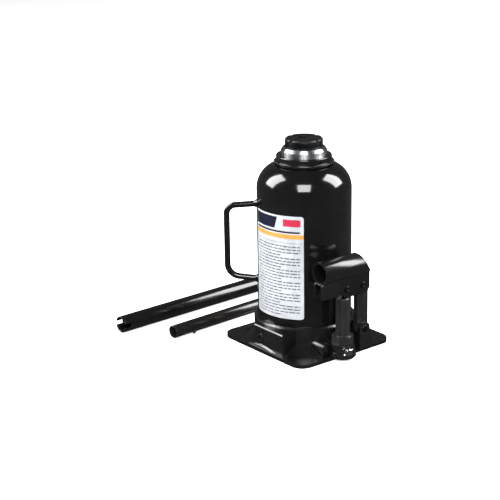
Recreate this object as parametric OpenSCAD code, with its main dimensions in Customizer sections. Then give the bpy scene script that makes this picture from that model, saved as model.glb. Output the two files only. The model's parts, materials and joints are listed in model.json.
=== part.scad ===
// Two-stage bottle jack with a fixed carry ring, pump, link and a loose two-piece handle.
// Origin: ram axis at the underside of the base. +Z up, +X towards the pump,
// +Y along the handle socket, away from its open mouth.

/* [Base] */
// Edge of the plate on the pump side, from the ram axis
plate_front = 75.3; // [74.8:0.1:75.8]
// Edge of the plate on the far side, from the ram axis
plate_back = 69.3; // [68.5:0.1:70]
// Half of the plate's other side
plate_half = 70; // [69.5:0.1:70.5]
// Thickness of the plate at its rim
plate_rim = 4.6; // [4:0.1:5]
// Corner radius of the plate
plate_corner = 15; // [13:0.5:17]
// Radius of the cast ring that holds the reservoir
ring_r = 59.1; // [58.6:0.1:59.6]
// Top of the cast ring
ring_top = 33; // [32.5:0.1:33.5]

/* [Reservoir] */
// Outer radius of the reservoir
tank_r = 54.6; // [54.2:0.1:54.8]
// Wall of the reservoir
tank_wall = 2.6; // [2.2:0.1:3]
// Height where the shoulder of the reservoir starts
shoulder_z = 184; // [182:0.5:185]
// Radius of the shoulder's arc
shoulder_r = 30; // [29.5:0.1:30.2]
// Top of the reservoir under the nut
tank_top = 213.5; // [213.2:0.1:213.7]

/* [Ram] */
// Radius of the ram
ram_r = 26.5; // [26.3:0.1:26.6]
// Top of the ram when it is down
ram_top = 231.6; // [231:0.1:232]
// Radius of the extension screw over its thread
screw_r = 18.35; // [18:0.05:18.35]
// Pitch of the extension screw
screw_pitch = 4; // [3:0.5:5]
// Radius of the saddle
saddle_r = 21.7; // [21:0.1:22]
// Height of the jack when it is down
jack_h = 242; // [241:0.1:243]

/* [Pump] */
// Distance of the pump's plane from the ram axis
pump_x = 76.5; // [76:0.1:77]
// Place of the pump barrel along its plane
pump_y = -8.8; // [-9:0.1:-8.6]
// Radius of the pump barrel
barrel_r = 8.15; // [8:0.05:8.3]
// Top of the pump barrel
barrel_top = 73.4; // [73:0.1:73.6]
// Width across the flats of the barrel's hexagon
hex_flats = 22; // [21:0.5:22.5]
// Radius of the pump plunger
plunger_r = 5.5; // [5.4:0.05:5.5]

/* [Linkage] */
// Height of the two upper pins
pins_z = 84.4; // [84.1:0.1:84.7]
// Distance between the two upper pins
lever = 24; // [23.5:0.1:24.5]
// Place of the link's lower pin along the plane
foot_y = 18.2; // [18:0.1:18.6]
// Height of the link's lower pin
foot_z = 31; // [30.8:0.1:31.2]
// Thickness of the link and of the plunger's head
blade = 6.2; // [5.8:0.1:6.4]
// Radius of the pins
pin_r = 3; // [2.8:0.1:3.1]
// Radius of the link's lower pin
base_pin_r = 4; // [3.8:0.1:4]

/* [Handle socket] */
// Outer radius of the socket
socket_r = 12.7; // [12.4:0.1:13]
// Wall of the socket
socket_wall = 2.1; // [1.9:0.1:2.1]
// Height of the socket's axis above the link pin
socket_rise = 24.1; // [23.9:0.1:24.4]
// Distance of the mouth from the link pin
socket_reach = 58.3; // [57:0.1:60]

/* [Carry handle] */
// Direction of the carry handle around the ram axis
carry_angle = 225; // [220:1:230]
// Radius of the carry handle's rod
rod_r = 3.6; // [3.3:0.1:3.9]
// Distance of the grip from the ram axis
grip_r = 90; // [88:0.5:92]
// Height of the upper arm at the reservoir
arm_top = 163.8; // [163:0.1:166]
// Height of the lower arm at the reservoir
arm_bottom = 72.6; // [72:0.1:75]

/* [Two-piece handle] */
// Radius of the large handle tube
big_r = 10.05; // [9.9:0.05:10.1]
// Length of the large handle tube
big_len = 340; // [300:5:375]
// Radius of the small handle tube
small_r = 7.65; // [7.5:0.05:7.7]
// Length of the small handle tube
small_len = 275; // [240:5:290]

/* [Hidden] */
$fn = 96;
fit = 0.05;

// Inside of the base
floor_z = 22;
seat_z = 16;
hub_r = 40;
gasket_h = 1.2;
cyl_r = 33.5;
cyl_bore = 28;
tank_bottom = floor_z + gasket_h;
lip_r = 29.7;
cyl_top = 209.6;
nut_thread_r = 29.4;
nut_thread_z = 190;

// Pump boss
boss_top = 19.5;
boss_r = 13.6;
foot_r = 15.4;
foot_bottom = 2.6;
foot_top = 7.5;
spigot_r = 6.5;
pocket_z = 12;
hex_top = 29.5;
chamber_z = 6.5;
chamber_r = 3.6;
gallery_z = 10;
gallery_r = 1.5;
suction_z = 4.6;
suction_turn = 146;
suction_run = 37;
plunger_bottom = 31;

// Valves
ball_r = 2.6;
release_turn = -20;
release_z = 13.2;
release_r = 3.4;
valve_pin_r = 1.3;
relief_y = -26;
relief_z = 12.5;
relief_end = 70;
relief_seat = 41;
valve_r = 4;
discharge_x = -1;
discharge_z = 16.5;
discharge_seat = -44;
side_boss_y = -66;
side_boss_top = 30;

// Linkage
link_y = pump_y + lever;
link_half = 8.3;
ear_r = 7.4;
ear_gap = 3.6;
ear_t = 4.5;
cheek_in = 4.4;
cheek_t = 2.8;
cheek_out = cheek_in + cheek_t;
socket_bore = socket_r - socket_wall;
pin_half = cheek_out + 1.7;
clip_t = 0.8;
base_pin_half = ear_gap + ear_t + 1.7;

// Carry handle
splay = 5;
bend_top = 11;
bend_bottom = 15;

// Loose handle
big_x = -155;
big_y = -157;
big_turn = 92.4;
big_bore = 8;
small_x = -99.5;
small_y = -120;
small_turn = 93.24;
small_wall = 1.5;
button_at = 27;
button_r = 2;
button_turn = -52;

// ---- shared shapes ----

// A ring about +Z from radius a to radius b
module ring(a, b, h) {
    difference() {
        cylinder(r = b, h = h);
        translate([0, 0, -1]) cylinder(r = a, h = h + 2);
    }
}

// A cylinder along +X, starting at the origin
module rod_x(r, h) {
    rotate([0, 90, 0]) cylinder(r = r, h = h);
}

// A cylinder along +Y, starting at the origin
module rod_y(r, h) {
    rotate([-90, 0, 0]) cylinder(r = r, h = h);
}

// Moves children to the pump's axis
module at_pump() {
    translate([pump_x, pump_y, 0]) children();
}

// The plate's outline, pulled in by inset
module plate_outline(inset = 0) {
    x0 = -plate_back + inset;
    x1 = plate_front - inset;
    y1 = plate_half - inset;
    c = plate_corner - inset;
    translate([x0 + c, -y1]) square([x1 - x0 - 2 * c, 2 * y1]);
    translate([x0, -y1 + c]) square([x1 - x0, 2 * (y1 - c)]);
    for (x = [x0 + c, x1 - c], y = [-y1 + c, y1 - c]) {
        translate([x, y]) circle(r = c, $fn = 48);
    }
}

// A closed coil about +Z: wire of radius w wound at radius r, turns over height h
module coil(r, w, h, turns) {
    steps = 12;
    sides = 6;
    n = turns * steps;
    points = [
        for (i = [0:n], j = [0:sides - 1])
            let (
                a = 360 * i / steps,
                b = 360 * j / sides,
                q = r + w * cos(b)
            )
            [q * cos(a), q * sin(a), w + (h - 2 * w) * i / n + w * sin(b)]
    ];
    walls = [
        for (i = [0:n - 1], j = [0:sides - 1])
            let (k = (j + 1) % sides)
            [i * sides + j, i * sides + k, (i + 1) * sides + k, (i + 1) * sides + j]
    ];
    start = [for (j = [sides - 1:-1:0]) j];
    end = [for (j = [0:sides - 1]) n * sides + j];
    polyhedron(points, concat([start], walls, [end]), convexity = 10);
}

// A snap ring about +X, open over a short gap
module snap_ring(r) {
    rotate([0, 90, 0]) rotate([0, 0, 30]) rotate_extrude(angle = 300) {
        translate([r, 0]) square([2, clip_t]);
    }
}

// A pin along X with a groove for a snap ring, and a dished head or a plain end
module grooved_pin(half, r, headed = true) {
    shank = [
        [0, -half], [r - 0.4, -half], [r, 0.4 - half], [r, 0.8 - half], [r - 0.5, 0.8 - half],
        [r - 0.5, 0.8 + clip_t - half], [r, 0.8 + clip_t - half], [r, cap(half)]
    ];
    head = [
        [r + 0.9, cap(half)], [r + 0.9, cap(half) + 0.7], [r, cap(half) + 1.2],
        [r - 1.2, cap(half) + 1.2], [r - 1.6, cap(half) + 0.8], [0, cap(half) + 0.8]
    ];
    plain = [[r - 0.3, cap(half) + 0.3], [0, cap(half) + 0.3]];
    rotate([0, 90, 0]) rotate_extrude() polygon(concat(shank, headed ? head : plain));
}

// Start of a pin's head
function cap(half) = half - 1.6;

// Snap ring for such a pin
module pin_ring(half, r) {
    translate([0.8 - half, 0, 0]) snap_ring(r - 0.5);
}

// ---- base ----

// Plate with a sloping top that rises to the ring
module base_plate() {
    linear_extrude(plate_rim) plate_outline();
    intersection() {
        translate([0, 0, plate_rim - 1]) cylinder(r1 = 72.6, r2 = ring_r, h = 10);
        linear_extrude(30) plate_outline(2);
    }
}

// Ring with a chamfered top edge, and the hub for the pressure cylinder
module base_ring() {
    chamfer = 2;
    rotate_extrude() polygon([
        [0, 0], [ring_r, 0], [ring_r, ring_top - chamfer], [ring_r - 1.6 * chamfer, ring_top],
        [0, ring_top]
    ]);
}

// Block on the mouth side that holds the discharge valve
module side_boss() {
    x0 = -12;
    x1 = 38;
    slope = 1.2;
    translate([x0, 0, 0]) rotate([90, 0, 90]) linear_extrude(x1 - x0) polygon([
        [-40, 0], [side_boss_y, 0],
        [side_boss_y, side_boss_top - slope], [side_boss_y + slope, side_boss_top],
        [-40, side_boss_top]
    ]);
}

// Round foot and boss under the pump, with the web back to the ring
module pump_boss() {
    at_pump() rotate_extrude() polygon([
        [0, foot_bottom], [foot_r - 1.6, foot_bottom], [foot_r, foot_bottom + 1.6],
        [foot_r, foot_top - 1], [boss_r + 1, foot_top + 1], [boss_r, boss_top], [0, boss_top]
    ]);
    translate([50, pump_y - 11, 1]) cube([pump_x - 50, 22, boss_top - 2]);
    at_pump() rotate([0, 0, release_turn]) translate([6, 0, release_z]) rod_x(5.8, 9);
}

// Short boss beside the pump for the overload valve
module relief_boss() {
    translate([45, relief_y, relief_z]) rod_x(7, relief_end - 45);
    translate([45, relief_y - 6, 1]) cube([relief_end - 47, 12, relief_z - 2]);
}

// One ear of the clevis that holds the link's foot
module ear(x, low) {
    translate([x, 0, 0]) rotate([90, 0, 90]) linear_extrude(ear_t) polygon([
        [foot_y - 8, low + 4], [foot_y - 6.4, low], [foot_y + 11.8, low], [foot_y + 11, 12],
        [foot_y + 8.4, 24], [foot_y + 6.6, 35.2], [foot_y + 4, 37.6], [foot_y - 5, 38.4],
        [foot_y - 8, 36]
    ]);
}

module clevis() {
    width = 2 * (ear_gap + ear_t);
    ear(pump_x + ear_gap, 7.5);
    ear(pump_x - ear_gap - ear_t, 2);
    translate([pump_x - width / 2 + 1, foot_y - ear_r, 7.5]) cube([width - 2, 2 * ear_r + 2, 14]);
    translate([52, foot_y - ear_r + 1, 2]) cube([pump_x - 54, 2 * ear_r, 12]);
}

// Oil galleries between the pump, the ram and the reservoir
module galleries() {
    $fn = 24;
    at_pump() {
        translate([0, 0, chamber_z]) cylinder(r = chamber_r, h = 10);
        translate([0, 0, suction_z]) cylinder(r = gallery_r, h = 5);
        rotate([0, 0, suction_turn]) {
            translate([0, 0, suction_z]) rod_x(1.3, suction_run);
            translate([suction_run, 0, suction_z]) cylinder(r = 2, h = 30);
        }
        rotate([0, 0, release_turn]) {
            translate([0, 0, gallery_z]) rod_x(1.2, 7.9);
            translate([7.9, 0, gallery_z]) cylinder(r = 1, h = release_z - gallery_z);
            translate([7.9, 0, release_z]) rod_x(0.8, 3);
            translate([0, 0, suction_z]) rod_x(1.2, 11.8);
            translate([11.8, 0, suction_z]) cylinder(r = 1, h = release_z - suction_z);
            translate([9.4, 0, release_z]) rod_x(release_r + fit, 12);
        }
    }
    translate([discharge_x, pump_y, gallery_z]) rod_x(gallery_r, pump_x - discharge_x);
    translate([discharge_x, discharge_seat + 2, gallery_z]) {
        rod_y(1.2, pump_y - discharge_seat - 2);
        cylinder(r = 1.4, h = discharge_z - gallery_z);
    }
    translate([discharge_x, discharge_seat - 1, discharge_z]) rod_y(1.2, 3);
    translate([discharge_x, side_boss_y - 10, discharge_z]) {
        rod_y(valve_r + fit, discharge_seat - side_boss_y + 10);
    }
    translate([discharge_x + 2, discharge_seat - 4, 13]) {
        cylinder(r = 1.3, h = discharge_z - 13);
        rod_y(1.1, 24);
    }
    translate([discharge_x + 2, discharge_seat + 20, 13]) cylinder(r = 1.3, h = 10);
    translate([8, relief_y, relief_z]) {
        rod_x(gallery_r, relief_seat - 7);
        cylinder(r = 1.3, h = 10);
    }
    translate([relief_seat, relief_y, relief_z]) rod_x(valve_r + fit, 40);
    translate([relief_seat + 3, relief_y, relief_z]) cylinder(r = 1.2, h = 20);
}

module base_casting() {
    color("#161617") difference() {
        union() {
            base_plate();
            base_ring();
            side_boss();
            pump_boss();
            relief_boss();
            clevis();
        }
        rotate_extrude() polygon([
            [0, seat_z], [cyl_r + fit, seat_z], [cyl_r + fit, 30], [hub_r, 30], [hub_r, floor_z],
            [tank_r + fit, floor_z], [tank_r + fit, 50], [0, 50]
        ]);
        at_pump() translate([0, 0, pocket_z]) cylinder(r = spigot_r + fit, h = 30);
        translate([pump_x - 20, foot_y, foot_z]) rod_x(base_pin_r + fit, 40);
        galleries();
    }
}

// ---- reservoir ----

module tank() {
    cx = tank_r - shoulder_r;
    filler_z = 168;
    color("#161617") difference() {
        rotate_extrude() difference() {
            intersection() {
                union() {
                    square([tank_r, shoulder_z]);
                    translate([cx, shoulder_z]) circle(r = shoulder_r);
                    square([cx, shoulder_z + shoulder_r]);
                }
                translate([0, tank_bottom]) square([tank_r, tank_top - tank_bottom]);
            }
            square([tank_r - tank_wall, shoulder_z]);
            translate([cx, shoulder_z]) circle(r = shoulder_r - tank_wall);
            square([cx, shoulder_z + shoulder_r - tank_wall]);
            square([lip_r, 2 * tank_top]);
        }
        rotate([0, 0, 135]) translate([40, 0, filler_z]) rod_x(5, 30);
    }
}

module tank_gasket() {
    color("#2b2b2b") translate([0, 0, floor_z]) {
        ring(tank_r - tank_wall, tank_r, gasket_h);
    }
}

module tank_nut() {
    color("#1a1a1b") rotate_extrude() difference() {
        polygon([
            [ram_r + fit, nut_thread_z], [nut_thread_r, nut_thread_z], [nut_thread_r, tank_top + 0.5],
            [34.5, tank_top + 0.5], [34.5, 216], [34, 216.5], [31.9, 216.5], [31.9, 222.4],
            [31.1, 223.2], [28.6, 223.2], [ram_r + 1.2, 222.3], [ram_r + fit, 222.3]
        ]);
        translate([0, 216.6]) square([29, 2.6]);
    }
}

module tank_nut_gasket() {
    color("#2b2b2b") translate([0, 0, tank_top]) ring(lip_r, 33.4, 0.5);
}

module ram_wiper() {
    color("#202020") rotate_extrude() polygon([
        [ram_r + 0.03, 216.7], [28.95, 216.7], [28.95, 219.1], [ram_r + 1, 219.1], [ram_r + 0.03, 218]
    ]);
}

module filler_plug() {
    color("#222222") rotate([0, 0, 135]) translate([0, 0, 168]) rotate([0, 90, 0]) rotate_extrude() {
        polygon([
            [0, 50], [4.4, 50], [4.9, 50.6], [4.9, tank_r + 0.03], [8.5, tank_r + 0.3],
            [8.5, tank_r + 1.6], [7, tank_r + 3], [0, tank_r + 3.4]
        ]);
    }
}

// Printed label wrapped on the reservoir
module label() {
    width = 65.5;
    low = 42.5;
    high = 164.4;
    corner = 3;
    color("#f0f1f3") rotate([0, 0, -77.8]) intersection() {
        ring(tank_r, tank_r + 0.15, 200);
        translate([40, 0, (low + high) / 2]) rotate([90, 0, 90]) linear_extrude(20) {
            square([width - 2 * corner, high - low], center = true);
            square([width, high - low - 2 * corner], center = true);
            for (x = [-1, 1], y = [-1, 1]) {
                translate([x * (width / 2 - corner), y * ((high - low) / 2 - corner)]) {
                    circle(r = corner);
                }
            }
        }
    }
}

// One straight arm from the reservoir, rising or falling by the splay, and its bend
module carry_arm(z, up, bend) {
    run = arm_run(bend);
    slim = rod_r - 0.06;
    translate([tank_r - 2, 0, z]) rotate([0, 90 + up * splay, 0]) {
        cylinder(r = slim, h = run + 0.6);
        cylinder(r1 = rod_r + 2.6, r2 = slim - 0.4, h = 6);
    }
    translate([grip_r - bend, 0, bend_z(z, up, bend)]) rotate([90, 0, 0]) {
        rotate([0, 0, up > 0 ? 0 : splay - 90]) rotate_extrude(angle = 90 - splay) {
            translate([bend, 0]) circle(r = rod_r);
        }
    }
}

// Length of an arm up to its bend
function arm_run(bend) = (grip_r - bend - tank_r + 2 + bend * sin(splay)) / cos(splay);

// Height of the centre of an arm's bend
function bend_z(z, up, bend) = z - up * (arm_run(bend) * sin(splay) + bend * cos(splay));

module carry_handle() {
    low = bend_z(arm_bottom, -1, bend_bottom);
    high = bend_z(arm_top, 1, bend_top);
    color("#161617") rotate([0, 0, carry_angle]) difference() {
        union() {
            carry_arm(arm_top, 1, bend_top);
            carry_arm(arm_bottom, -1, bend_bottom);
            translate([grip_r, 0, low - 0.6]) cylinder(r = rod_r - 0.06, h = high - low + 1.2);
        }
        cylinder(r = tank_r, h = 250);
    }
}

// ---- ram ----

module pressure_cylinder() {
    color("#8d9094") rotate_extrude() polygon([
        [cyl_bore, seat_z + gasket_h], [cyl_r, seat_z + gasket_h], [cyl_r, cyl_top],
        [nut_thread_r + fit, cyl_top], [nut_thread_r + fit, nut_thread_z - 1], [cyl_bore, nut_thread_z - 2.2]
    ]);
}

module cylinder_gasket() {
    color("#b87333") translate([0, 0, seat_z]) ring(28.5, cyl_r, gasket_h);
}

module ram() {
    head = cyl_bore - 0.1;
    color("#c9ccd0") rotate_extrude() polygon([
        [6.05, 24.5], [17, 24.5], [17, 31], [head, 31], [head, 33.5], [25.5, 33.5], [25.5, 36.5],
        [head, 36.5], [head, 39], [head - 1, 40], [ram_r, 40], [ram_r, ram_top - 3.3],
        [24.4, ram_top], [19.6, ram_top], [screw_r + fit, ram_top - 1.2], [screw_r + fit, 137],
        [0, 137], [0, 48], [6.05, 46]
    ]);
}

module ram_cup_seal() {
    color("#26262a") rotate_extrude() polygon([
        [17, 24.6], [19.6, 24.6], [22, 28], [25.6, 24.6], [cyl_bore - 0.03, 24.6],
        [cyl_bore - 0.03, 26], [27.3, 31], [17, 31]
    ]);
}

module ram_wear_ring() {
    color("#6b5a35") translate([0, 0, 33.5]) ring(25.5, cyl_bore - 0.04, 3);
}

module seal_retainer() {
    color("#8d9094") translate([0, 0, 22]) ring(6.05, 24, 2.5);
}

module retainer_screw() {
    color("#55585c") {
        translate([0, 0, 18]) cylinder(r = 10.4, h = 4, $fn = 6);
        translate([0, 0, 21]) cylinder(r = 6, h = 24);
    }
}

// Extension screw with its thread cut as rings at the screw's pitch
module extension_screw() {
    low = 139;
    high = ram_top - 2;
    teeth = floor((high - low - 4) / screw_pitch);
    root = screw_r - 1.6;
    color("#a3a6aa") rotate_extrude() polygon(concat(
        [[0, low], [root - 1, low], [root, low + 1]],
        [
            for (i = [0:teeth - 1], step = [0:3])
                let (z = low + 1.5 + i * screw_pitch)
                [
                    step == 0 || step == 3 ? root : screw_r,
                    z + screw_pitch * [0.05, 0.3, 0.55, 0.8][step]
                ]
        ],
        [[root, high], [10, high], [10, 236.6], [0, 236.6]]
    ));
}

module saddle() {
    low = ram_top + 0.1;
    groove = 3.6;
    depth = 2.8;
    color("#3b3e41") difference() {
        rotate_extrude() polygon([
            [0, low], [saddle_r, low], [saddle_r, jack_h - 1.6], [saddle_r - 1.3, jack_h], [0, jack_h]
        ]);
        translate([0, 0, low - 1]) cylinder(r = 10.05, h = 237 - low + 1);
        for (turn = [5, 95]) {
            rotate([0, 0, turn]) translate([-30, -groove / 2, jack_h - depth]) cube([60, groove, 5]);
        }
    }
}

// ---- pump ----

module pump_cylinder() {
    color("#1b1b1c") at_pump() difference() {
        union() {
            translate([0, 0, pocket_z + gasket_h]) cylinder(r = spigot_r, h = 10);
            intersection() {
                translate([0, 0, boss_top]) {
                    cylinder(r = hex_flats / 2 / cos(30), h = hex_top - boss_top, $fn = 6);
                }
                rotate_extrude() polygon([
                    [0, boss_top], [12.1, boss_top], [13.2, boss_top + 1], [13.2, hex_top - 1.4],
                    [11, hex_top], [0, hex_top]
                ]);
            }
            translate([0, 0, boss_top]) cylinder(r = barrel_r, h = barrel_top - 1 - boss_top);
            translate([0, 0, barrel_top - 1]) cylinder(r1 = barrel_r, r2 = barrel_r - 1, h = 1);
        }
        translate([0, 0, 27]) cylinder(r = plunger_r + fit, h = 60);
        translate([0, 0, 10]) cylinder(r = 1.6, h = 30);
        translate([0, 0, 57]) cylinder(r = 7, h = 4);
    }
}

module pump_gasket() {
    color("#b87333") at_pump() translate([0, 0, pocket_z]) ring(4, spigot_r, gasket_h);
}

module plunger_packing() {
    color("#26262a") at_pump() rotate_extrude() polygon([
        [plunger_r + 0.03, 57.1], [6.95, 57.1], [6.95, 60.9], [plunger_r + 0.03, 60.9]
    ]);
}

// Plunger with a flat head that carries an oversize eye for the pin
module pump_plunger() {
    neck = pins_z - 21.6;
    eye = 7.4;
    color("#b9bcc0") at_pump() difference() {
        union() {
            translate([0, 0, plunger_bottom]) cylinder(r = plunger_r, h = neck - plunger_bottom);
            intersection() {
                translate([0, 0, neck - 1]) cylinder(r = plunger_r, h = pins_z - neck);
                translate([-blade / 2, -10, neck - 1]) cube([blade, 20, 40]);
            }
            translate([-blade / 2, 0, pins_z]) rod_x(eye, blade);
        }
        translate([-10, 0, pins_z]) rod_x(pin_r + 1.75, 20);
        translate([0, 0, plunger_bottom - 1]) cylinder(r = 2, h = 8);
    }
}

// ---- valves ----

module suction_ball() {
    color("#d5d8dc") at_pump() {
        translate([0, 0, chamber_z + sqrt(ball_r * ball_r - gallery_r * gallery_r)]) sphere(r = ball_r);
    }
}

module discharge_ball() {
    color("#d5d8dc") translate([discharge_x, discharge_seat - ball_r, discharge_z]) sphere(r = ball_r);
}

module discharge_spring() {
    color("#9a9da1") {
        translate([discharge_x, discharge_seat - 2 * ball_r - 0.2, discharge_z]) rotate([90, 0, 0]) {
            coil(2.6, 0.45, 6.5, 5);
        }
    }
}

module discharge_plug() {
    color("#2a2a2c") translate([discharge_x, side_boss_y, discharge_z]) difference() {
        union() {
            rod_y(valve_r, 8);
            translate([0, -1, 0]) rod_y(4.6, 1);
        }
        translate([0, -2, 0]) rotate([-90, 30, 0]) cylinder(r = 2.3, h = 3.5, $fn = 6);
    }
}

module relief_ball() {
    color("#d5d8dc") translate([relief_seat + ball_r, relief_y, relief_z]) sphere(r = ball_r);
}

module relief_spring() {
    color("#9a9da1") translate([relief_seat + 2 * ball_r + 0.2, relief_y, relief_z]) {
        rotate([0, 90, 0]) coil(2.6, 0.5, 6, 5);
    }
}

module relief_screw() {
    start = relief_seat + 2 * ball_r + 6.5;
    color("#303033") difference() {
        translate([start, relief_y, relief_z]) rod_x(valve_r, relief_end - start + 0.6);
        translate([relief_end - 1.5, relief_y, relief_z]) rotate([0, 90, 0]) {
            cylinder(r = 2.3, h = 4, $fn = 6);
        }
    }
}

// Needle valve with a flat cross head that the slotted handle end turns
module release_valve() {
    head = 15.6;
    color("#b4b7bb") at_pump() rotate([0, 0, release_turn]) translate([0, 0, release_z]) {
        difference() {
            rotate([0, 90, 0]) rotate_extrude() polygon([
                [0, 9.1], [0.5, 9.1], [0.72, 9.42], [release_r, 11.2], [release_r, 12.6], [release_r - 1, 12.6],
                [release_r - 1, 13.9], [release_r, 13.9], [release_r, head], [4.4, head],
                [4.4, head + 3.4], [3.6, head + 4.2], [0, head + 4.2]
            ]);
            translate([head + 2, 0, 0]) rotate([32, 0, 0]) translate([0, -10, 0]) {
                rod_y(valve_pin_r, 20);
            }
        }
    }
}

module release_valve_pin() {
    color("#c4c7cb") at_pump() rotate([0, 0, release_turn]) translate([17.6, 0, release_z]) {
        rotate([32, 0, 0]) translate([0, -6, 0]) rod_y(valve_pin_r, 12);
    }
}

module release_oring() {
    color("#202020") at_pump() rotate([0, 0, release_turn]) translate([13.25, 0, release_z]) {
        rotate([0, 90, 0]) rotate_extrude() translate([release_r - 0.5, 0]) circle(r = 0.5);
    }
}

module oil_strainer() {
    color("#b5a04a") at_pump() rotate([0, 0, suction_turn]) translate([suction_run, 0, floor_z]) {
        difference() {
            cylinder(r = 4.5, h = 1.2);
            for (turn = [0:60:300]) {
                rotate([0, 0, turn]) translate([2.6, 0, -1]) cylinder(r = 0.7, h = 4);
            }
        }
    }
}

// ---- linkage ----

// Upright link: its upper eye is bored off centre, towards the pump
module fulcrum_link() {
    top = [link_y - foot_y, pins_z - foot_z];
    middle = 0.4;
    color("#161617") translate([pump_x, foot_y, foot_z]) difference() {
        rotate([90, 0, 90]) translate([0, 0, -blade / 2]) linear_extrude(blade) {
            circle(r = link_half);
            translate([middle, top[1]]) circle(r = link_half);
            translate([middle + 0.1 - link_half, 0]) square([2 * link_half - 0.2, top[1]]);
        }
        translate([-10, 0, 0]) rod_x(base_pin_r + fit, 20);
        translate([-10, top[0], top[1]]) rod_x(pin_r + fit, 20);
    }
}

module link_base_pin() {
    color("#8a8d91") translate([pump_x, foot_y, foot_z]) grooved_pin(base_pin_half, base_pin_r, false);
}

module link_base_clip() {
    color("#4a4d50") translate([pump_x, foot_y, foot_z]) pin_ring(base_pin_half, base_pin_r);
}

// Cross-section: a tube over two parallel cheeks
module socket_section() {
    difference() {
        union() {
            translate([0, socket_rise]) circle(r = socket_r);
            for (x = [-cheek_out, cheek_in]) {
                translate([x, -20]) square([cheek_t, 35.7]);
            }
        }
        translate([0, socket_rise]) circle(r = socket_bore);
    }
}

// Side outline of the socket, with its slanted closed end
module socket_side() {
    polygon([
        [-socket_reach - 2.5, -5], [-30.5, -5], [-25.5, -10.4], [7.3, -8.6], [10.2, -4.5],
        [10.2, 14.3], [2.8, 23.6], [-6.2, 42.2], [-socket_reach, 42.2],
        [-socket_reach, 12.4], [-socket_reach - 2.5, 10.8]
    ]);
}

module handle_socket() {
    color("#161617") translate([pump_x, link_y, pins_z]) difference() {
        intersection() {
            translate([0, 20, 0]) rotate([90, 0, 0]) linear_extrude(100) socket_section();
            rotate([90, 0, 90]) translate([0, 0, -20]) linear_extrude(40) socket_side();
        }
        translate([-20, 0, 0]) rod_x(pin_r + fit, 40);
        translate([-20, -lever, 0]) rod_x(pin_r + fit, 40);
    }
}

module plunger_pin() {
    color("#8a8d91") translate([pump_x, pump_y, pins_z]) grooved_pin(pin_half, pin_r);
}

module link_top_pin() {
    color("#8a8d91") translate([pump_x, link_y, pins_z]) grooved_pin(pin_half, pin_r);
}

module socket_pin_clips() {
    color("#4a4d50") {
        translate([pump_x, pump_y, pins_z]) pin_ring(pin_half, pin_r);
        translate([pump_x, link_y, pins_z]) pin_ring(pin_half, pin_r);
    }
}

// ---- loose handle ----

// A tube lying on the floor along +X of its own frame
module lie(x, y, turn, r) {
    translate([x, y, r]) rotate([0, 0, turn]) children();
}

module handle_tube_large() {
    slot = 5;
    color("#161617") lie(big_x, big_y, big_turn, big_r) difference() {
        rod_x(big_r, big_len);
        translate([-1, 0, 0]) rod_x(big_bore, big_len + 2);
        translate([-1, -20, -slot / 2]) cube([10, 40, slot]);
        translate([big_len - button_at, 0, 0]) cylinder(r = button_r + 0.4, h = 20);
    }
}

module handle_tube_small() {
    color("#2b2a27") lie(small_x, small_y, small_turn, small_r) difference() {
        rod_x(small_r, small_len);
        translate([-1, 0, 0]) rod_x(small_r - small_wall, small_len + 2);
        rotate([button_turn, 0, 0]) translate([button_at, 0, -20]) {
            cylinder(r = button_r + 0.1, h = 20);
        }
    }
}

// Snap button that stands out through the small tube's wall
module lock_button() {
    color("#a9acb0") lie(small_x, small_y, small_turn, small_r) {
        rotate([button_turn, 0, 0]) translate([button_at, 0, 0]) rotate([180, 0, 0]) {
            rotate_extrude() polygon([
                [0, 3.4], [3, 3.4], [3, 4.6], [button_r, 4.6], [button_r, small_r + 1.6],
                [1.3, small_r + 2.4], [0, small_r + 2.6]
            ]);
        }
    }
}

// Bent leaf spring inside the small tube that pushes the button out
module button_spring() {
    color("#9a9da1") lie(small_x, small_y, small_turn, small_r) {
        rotate([button_turn, 0, 0]) translate([button_at, 2, 0]) rotate([90, 0, 0]) {
            linear_extrude(4) polygon([
                [-5, -3.3], [4, -3.3], [40, 3.9], [4, 4.4], [4, 3.9], [36, 3.4], [4, -2.8],
                [-5, -2.8]
            ]);
        }
    }
}

base_casting();
tank();
tank_gasket();
tank_nut();
tank_nut_gasket();
filler_plug();
label();
carry_handle();
pressure_cylinder();
cylinder_gasket();
ram();
ram_cup_seal();
ram_wear_ring();
seal_retainer();
retainer_screw();
ram_wiper();
extension_screw();
saddle();
pump_cylinder();
pump_gasket();
plunger_packing();
pump_plunger();
suction_ball();
discharge_ball();
discharge_spring();
discharge_plug();
relief_ball();
relief_spring();
relief_screw();
release_valve();
release_valve_pin();
release_oring();
oil_strainer();
fulcrum_link();
link_base_pin();
link_base_clip();
handle_socket();
plunger_pin();
link_top_pin();
socket_pin_clips();
handle_tube_large();
handle_tube_small();
lock_button();
button_spring();
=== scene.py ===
"""Looks for the bottle jack: materials, printed label art, studio and camera."""
import json
import math
import random

import bpy
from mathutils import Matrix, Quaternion, Vector


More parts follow.
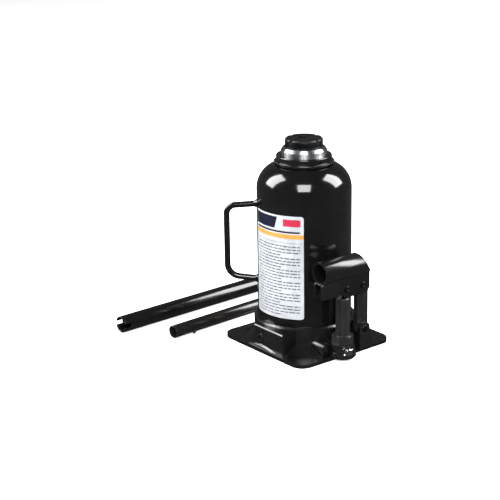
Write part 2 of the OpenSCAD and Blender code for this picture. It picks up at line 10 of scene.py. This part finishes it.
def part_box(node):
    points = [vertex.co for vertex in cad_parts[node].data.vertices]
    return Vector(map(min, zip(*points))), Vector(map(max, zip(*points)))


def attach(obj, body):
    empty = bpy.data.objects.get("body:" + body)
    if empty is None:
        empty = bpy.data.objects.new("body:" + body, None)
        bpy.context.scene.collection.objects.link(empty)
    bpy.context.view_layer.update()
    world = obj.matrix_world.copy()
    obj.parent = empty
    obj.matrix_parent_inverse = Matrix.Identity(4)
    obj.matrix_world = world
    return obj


MM = 0.001
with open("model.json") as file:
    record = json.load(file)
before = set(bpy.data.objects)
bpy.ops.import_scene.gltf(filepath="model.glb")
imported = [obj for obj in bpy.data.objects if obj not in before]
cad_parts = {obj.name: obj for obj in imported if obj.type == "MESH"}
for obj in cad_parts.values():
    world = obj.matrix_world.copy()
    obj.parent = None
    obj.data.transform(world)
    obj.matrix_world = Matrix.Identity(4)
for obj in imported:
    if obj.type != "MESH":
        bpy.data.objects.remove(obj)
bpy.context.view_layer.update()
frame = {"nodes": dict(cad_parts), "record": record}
scene = bpy.context.scene

# The camera sees the object from the pump side, slightly from above
CAMERA_AT = Vector((1.16858, -0.99206, 0.60466))
CAMERA_AIM = Vector((-0.1023, 0.0, 0.08341))
CAMERA_ROLL = 0.969
CAMERA_LENS = 100.06
CAMERA_SENSOR = 36
CAMERA_REACH = 50
VIEW_AZIMUTH = -40.3

# Soft boxes: (turn from the camera's side, height angle, width, height, watts)
SOFT_BOXES = [(0, 34, 1.1, 1.15, 55), (97, 36, 1.15, 1.7, 92), (-97, 36, 1.15, 1.7, 92)]
BOX_DISTANCE = 2.2
BOX_AIM = Vector((0, 0, 0.15))

FLOOR_HALF = 12.0
FLOOR_DROP = 0.02 * MM
FLOOR_GLOW = 0.55
# Strength of the white world as a source of light, and as the camera sees it
WORLD_LIGHT, WORLD_SEEN = 0.1, 1.05

# The middle stretch of a noise pattern, where its values lie
NOISE_LOW, NOISE_HIGH = 0.35, 0.65
# Rotates anisotropy so that a turned part's highlights run across its lathe marks
QUARTER_TURN = 0.25


# ---- materials ----

class Look:
    """A material with a Principled shader and small helpers for its texture nodes."""

    def __init__(self, name, color, metal, rough):
        self.mat = bpy.data.materials.new(name)
        self.mat.use_nodes = True
        self.nodes = self.mat.node_tree.nodes
        self.links = self.mat.node_tree.links
        self.shader = self.nodes["Principled BSDF"]
        self.shader.inputs["Base Color"].default_value = (*color, 1)
        self.shader.inputs["Metallic"].default_value = metal
        self.shader.inputs["Roughness"].default_value = rough
        self.coords = self.nodes.new("ShaderNodeTexCoord").outputs["Object"]
        self.normal = None

    def noise(self, size, detail=2.0, stretch=(1, 1, 1)):
        """Noise whose lumps are size metres across, stretched along the axes."""
        mapping = self.nodes.new("ShaderNodeMapping")
        mapping.inputs["Scale"].default_value = stretch
        tex = self.nodes.new("ShaderNodeTexNoise")
        tex.inputs["Scale"].default_value = 1 / size
        tex.inputs["Detail"].default_value = detail
        self.links.new(self.coords, mapping.inputs["Vector"])
        self.links.new(mapping.outputs["Vector"], tex.inputs["Vector"])
        return tex.outputs["Fac"]

    def spread(self, fac, low, high):
        """Maps the middle stretch of the noise fac to low..high."""
        node = self.nodes.new("ShaderNodeMapRange")
        for name, value in zip(
            ("From Min", "From Max", "To Min", "To Max"), (NOISE_LOW, NOISE_HIGH, low, high)
        ):
            node.inputs[name].default_value = value
        self.links.new(fac, node.inputs["Value"])
        return node.outputs["Result"]

    def roughness(self, fac, low, high):
        """Varies the roughness from low to high as fac rises."""
        self.links.new(self.spread(fac, low, high), self.shader.inputs["Roughness"])

    def tint(self, fac, a, b):
        """Blends the base colour from a to b as fac rises from start to end."""
        ramp = self.nodes.new("ShaderNodeValToRGB")
        first, last = ramp.color_ramp.elements
        first.position, first.color = NOISE_LOW, (*a, 1)
        last.position, last.color = NOISE_HIGH, (*b, 1)
        self.links.new(fac, ramp.inputs["Fac"])
        self.links.new(ramp.outputs["Color"], self.shader.inputs["Base Color"])

    def bump(self, fac, depth):
        """Adds relief depth metres deep on top of any that is there."""
        node = self.nodes.new("ShaderNodeBump")
        node.inputs["Strength"].default_value = 1.0
        node.inputs["Distance"].default_value = depth
        self.links.new(fac, node.inputs["Height"])
        if self.normal is not None:
            self.links.new(self.normal, node.inputs["Normal"])
        self.normal = node.outputs["Normal"]
        self.links.new(self.normal, self.shader.inputs["Normal"])


def paint(name, color, rough, peel=0.0035, depth=0.000012, cast=0.0):
    """Sprayed paint: orange peel, a little dust, and cast grain under it if asked."""
    look = Look(name, color, 0.0, rough)
    look.shader.inputs["IOR"].default_value = 1.55
    dust = look.noise(0.03, 5)
    look.roughness(dust, rough * 0.85, rough * 1.35)
    look.tint(look.noise(0.05, 3), color, [c * 1.4 + 0.001 for c in color])
    if cast:
        look.bump(look.noise(0.0022, 4), cast)
    look.bump(look.noise(peel, 1), depth)
    return look.mat


def steel(name, color, rough, grain=(1, 1, 1), size=0.0004, depth=0.000004, turned=0.0):
    """Bare or plated steel with machining grain and finger-dull patches.

    turned, from 0 to 1, stretches the highlights along Z, as fine lathe marks do.
    """
    look = Look(name, color, 1.0, rough)
    if turned:
        tangent = look.nodes.new("ShaderNodeTangent")
        tangent.direction_type = "RADIAL"
        tangent.axis = "Z"
        look.shader.inputs["Anisotropic"].default_value = turned
        look.shader.inputs["Anisotropic Rotation"].default_value = QUARTER_TURN
        look.links.new(tangent.outputs["Tangent"], look.shader.inputs["Tangent"])
    look.roughness(look.noise(0.012, 4), rough * 0.8, rough * 1.3)
    look.tint(look.noise(0.02, 3), [c * 0.82 for c in color], color)
    look.bump(look.noise(size, 2, grain), depth)
    return look.mat


def soft(name, color, rough, size=0.0006, depth=0.00002):
    """Rubber, fibre or plastic with a fine grain."""
    look = Look(name, color, 0.0, rough)
    look.roughness(look.noise(0.008, 3), rough * 0.85, min(1.0, rough * 1.15))
    look.tint(look.noise(0.01, 3), [c * 0.8 for c in color], color)
    look.bump(look.noise(size, 3), depth)
    return look.mat


BLACK = (0.0022, 0.0022, 0.0024)
SATIN = (0.0045, 0.0045, 0.005)
RINGS = (0.05, 0.05, 1)

MATERIALS = {
    "base_paint": paint("base_paint", BLACK, 0.2, cast=0.00004),
    "tank_paint": paint("tank_paint", BLACK, 0.1, peel=0.006, depth=0.000016),
    "nut_paint": paint("nut_paint", (0.003, 0.003, 0.0034), 0.17),
    "handle_paint": paint("handle_paint", BLACK, 0.14),
    "pump_paint": paint("pump_paint", SATIN, 0.38, cast=0.000012),
    "link_paint": paint("link_paint", SATIN, 0.36, cast=0.000015),
    "socket_paint": paint("socket_paint", BLACK, 0.2, peel=0.005, depth=0.00002),
    "tube_paint": paint("tube_paint", BLACK, 0.16),
    "small_tube_paint": paint("small_tube_paint", (0.0055, 0.005, 0.0045), 0.19),
    "ram_steel": steel("ram_steel", (0.5, 0.51, 0.53), 0.34, RINGS, turned=0.9),
    "machined_steel": steel("machined_steel", (0.5, 0.51, 0.53), 0.3, RINGS),
    "screw_steel": steel("screw_steel", (0.42, 0.43, 0.45), 0.28, RINGS),
    "saddle_steel": steel(
        "saddle_steel", (0.035, 0.036, 0.038), 0.42, size=0.0012, depth=0.00001
    ),
    "dark_steel": steel("dark_steel", (0.12, 0.12, 0.125), 0.35),
    "plunger_steel": steel("plunger_steel", (0.55, 0.56, 0.58), 0.18, RINGS),
    "ball_steel": steel("ball_steel", (0.7, 0.71, 0.73), 0.06),
    "spring_wire": steel("spring_wire", (0.45, 0.46, 0.48), 0.3),
    "valve_steel": steel("valve_steel", (0.42, 0.43, 0.45), 0.22),
    "pin_steel": steel("pin_steel", (0.03, 0.03, 0.032), 0.3),
    "clip_steel": steel("clip_steel", (0.2, 0.2, 0.21), 0.3),
    "button_steel": steel("button_steel", (0.06, 0.06, 0.062), 0.3),
    "spring_strip": steel("spring_strip", (0.45, 0.46, 0.48), 0.25),
    "copper": steel("copper", (0.72, 0.38, 0.22), 0.3),
    "strainer": steel("strainer", (0.6, 0.48, 0.22), 0.35),
    "gasket": soft("gasket", (0.02, 0.02, 0.02), 0.8),
    "seal": soft("seal", (0.012, 0.012, 0.014), 0.45),
    "plug_rubber": soft("plug_rubber", (0.015, 0.015, 0.015), 0.6),
    "wear_ring": soft("wear_ring", (0.22, 0.17, 0.08), 0.6),
    "label_print": soft("label_print", (0.42, 0.44, 0.47), 0.4, 0.004, 0.00001),
}

SLOTS = {s["node"]: s["material_slot"] for s in frame["record"]["subparts"]}

WELD_DISTANCE = 0.01 * MM
SHARP_ANGLE = math.radians(35)
# Edge rounding of cast, pressed and turned pieces, in metres
ROUNDED = {
    "base_casting": 0.9 * MM,
    "handle_socket": 0.45 * MM,
    "fulcrum_link": 0.5 * MM,
    "pump_cylinder": 0.25 * MM,
    "tank_nut": 0.4 * MM,
    "saddle": 0.3 * MM,
    "discharge_plug": 0.25 * MM,
    "relief_screw": 0.25 * MM,
    "handle_tube_large": 0.3 * MM,
    "handle_tube_small": 0.3 * MM,
}


def dress(node, obj):
    """Gives a CAD node its material, and rounds its edges if it has a width for that."""
    obj.data.materials.clear()
    obj.data.materials.append(MATERIALS[SLOTS[node]])
    if node in ROUNDED:
        weld = obj.modifiers.new("weld", "WELD")
        weld.merge_threshold = WELD_DISTANCE
        bevel = obj.modifiers.new("edges", "BEVEL")
        bevel.width = ROUNDED[node]
        bevel.segments = 2
        bevel.limit_method = "ANGLE"
        bevel.angle_limit = SHARP_ANGLE
        bevel.use_clamp_overlap = True
        bevel.harden_normals = True


for node_name, node_object in frame["nodes"].items():
    dress(node_name, node_object)


# ---- printed label ----

label_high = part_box("label")[1]
LABEL_TOP = label_high.z
TANK_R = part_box("tank")[1].x
# Direction of the label's middle around the reservoir, and half its sweep, in degrees
LABEL_MID = -77.8
LABEL_HALF = 36.8
ART_R = TANK_R + 0.32 * MM
ART_STEPS = 24
INK_ROUGHNESS = 0.3


def wrapped(name, patches, color):
    """One mesh of printed patches on the reservoir.

    A patch is (left, right, low, high, slant): left and right run 0..1 across the
    label, low and high are metres below its top, slant moves the foot's right end.
    """
    verts, faces = [], []
    for left, right, high, low, slant in patches:
        steps = max(1, round((right - left) * ART_STEPS))
        start = len(verts)
        for i in range(steps + 1):
            for z, lean in ((high, 0.0), (low, slant)):
                across = left + (right + lean - left) * i / steps
                turn = math.radians(LABEL_MID - LABEL_HALF + 2 * LABEL_HALF * across)
                verts.append((ART_R * math.cos(turn), ART_R * math.sin(turn), LABEL_TOP - z))
        for i in range(steps):
            a = start + 2 * i
            faces.append((a + 1, a + 3, a + 2, a))
    mesh = bpy.data.meshes.new(name)
    mesh.from_pydata(verts, [], faces)
    mesh.materials.append(soft(name + "_ink", color, INK_ROUGHNESS, 0.003, 0.000006))
    obj = bpy.data.objects.new(name, mesh)
    scene.collection.objects.link(obj)
    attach(obj, "jack")


wrapped("label_header", [(0.015, 0.55, 0.002, 0.0155, -0.05)], (0.006, 0.008, 0.02))
wrapped("label_mark", [(0.66, 0.95, 0.004, 0.012, 0.0)], (0.45, 0.012, 0.05))
wrapped("label_title", [(0.05, 0.94, 0.0178, 0.0198, 0.0)], (0.02, 0.02, 0.022))
wrapped("label_band", [(0.0, 1.0, 0.0213, 0.0263, 0.0)], (0.55, 0.25, 0.045))
wrapped("label_rule", [(0.03, 0.97, 0.0312, 0.0317, 0.0)], (0.2, 0.2, 0.21))

# Greeked lines: short grey bars that stand for words of small print
LINES = 24
LINE_STEP = 3.55 * MM
LINE_TOP = 35.0 * MM
LINE_H = 1.25 * MM
WORD_GAP = 0.018
SHORTEST, LONGEST = 0.035, 0.12
dice = random.Random(7)
bars = []
for row in range(LINES):
    top = LINE_TOP + row * LINE_STEP
    # Paragraphs of four lines: the first is indented and the last is short
    place = 0.06 if row % 4 else 0.1
    end = 0.94 if row % 4 != 3 else 0.62
    while place < end:
        word = min(dice.uniform(SHORTEST, LONGEST), end - place)
        bars.append((place, place + word, top, top + LINE_H, 0.0))
        place += word + WORD_GAP
wrapped("label_lines", bars, (0.1, 0.102, 0.11))


# ---- studio ----

def soft_box(turn, rise, width, height, watts):
    """A soft box that faces the object and stays out of the picture."""
    light = bpy.data.lights.new("soft_box", "AREA")
    light.shape = "RECTANGLE"
    light.size, light.size_y = width, height
    light.energy = watts
    obj = bpy.data.objects.new("soft_box", light)
    around, up = math.radians(VIEW_AZIMUTH + turn), math.radians(rise)
    out = Vector(
        (math.cos(around) * math.cos(up), math.sin(around) * math.cos(up), math.sin(up))
    )
    obj.location = BOX_AIM + out * BOX_DISTANCE
    obj.rotation_mode = "QUATERNION"
    obj.rotation_quaternion = (-out).to_track_quat("-Z", "Y")
    obj.visible_camera = False
    scene.collection.objects.link(obj)


for box_spec in SOFT_BOXES:
    soft_box(*box_spec)


def make_floor():
    """Plain pale paper that shows in the picture but not in reflections."""
    size = FLOOR_HALF
    mesh = bpy.data.meshes.new("floor")
    mesh.from_pydata(
        [(-size, -size, 0), (size, -size, 0), (size, size, 0), (-size, size, 0)],
        [],
        [(0, 1, 2, 3)],
    )
    look = Look("floor_paper", (0.93, 0.93, 0.93), 0.0, 0.9)
    look.shader.inputs["Specular IOR Level"].default_value = 0.1
    # Its own faint light keeps the paper pale far from the soft boxes
    look.shader.inputs["Emission Color"].default_value = (1, 1, 1, 1)
    look.shader.inputs["Emission Strength"].default_value = FLOOR_GLOW
    look.bump(look.noise(0.004, 2), 0.00001)
    mesh.materials.append(look.mat)
    floor = bpy.data.objects.new("floor", mesh)
    floor.location.z = -FLOOR_DROP
    scene.collection.objects.link(floor)
    floor.visible_glossy = False


make_floor()


def make_world():
    """White behind the object, dimmer as a source of light."""
    world = bpy.data.worlds.new("studio")
    world.use_nodes = True
    nodes, links = world.node_tree.nodes, world.node_tree.links
    back = nodes["Background"]
    back.inputs["Color"].default_value = (1, 1, 1, 1)
    path = nodes.new("ShaderNodeLightPath")
    strength = nodes.new("ShaderNodeMapRange")
    strength.inputs["To Min"].default_value = WORLD_LIGHT
    strength.inputs["To Max"].default_value = WORLD_SEEN
    links.new(path.outputs["Is Camera Ray"], strength.inputs["Value"])
    links.new(strength.outputs["Result"], back.inputs["Strength"])
    scene.world = world


make_world()
scene.view_settings.view_transform = "Standard"

camera_data = bpy.data.cameras.new("camera")
camera_data.lens = CAMERA_LENS
camera_data.sensor_width = CAMERA_SENSOR
camera_data.clip_end = CAMERA_REACH
camera = bpy.data.objects.new("camera", camera_data)
camera.location = CAMERA_AT
camera.rotation_mode = "QUATERNION"
aim = CAMERA_AIM - CAMERA_AT
roll = Quaternion(aim.normalized(), math.radians(CAMERA_ROLL))
camera.rotation_quaternion = roll @ aim.to_track_quat("-Z", "Y")
scene.collection.objects.link(camera)
scene.camera = camera
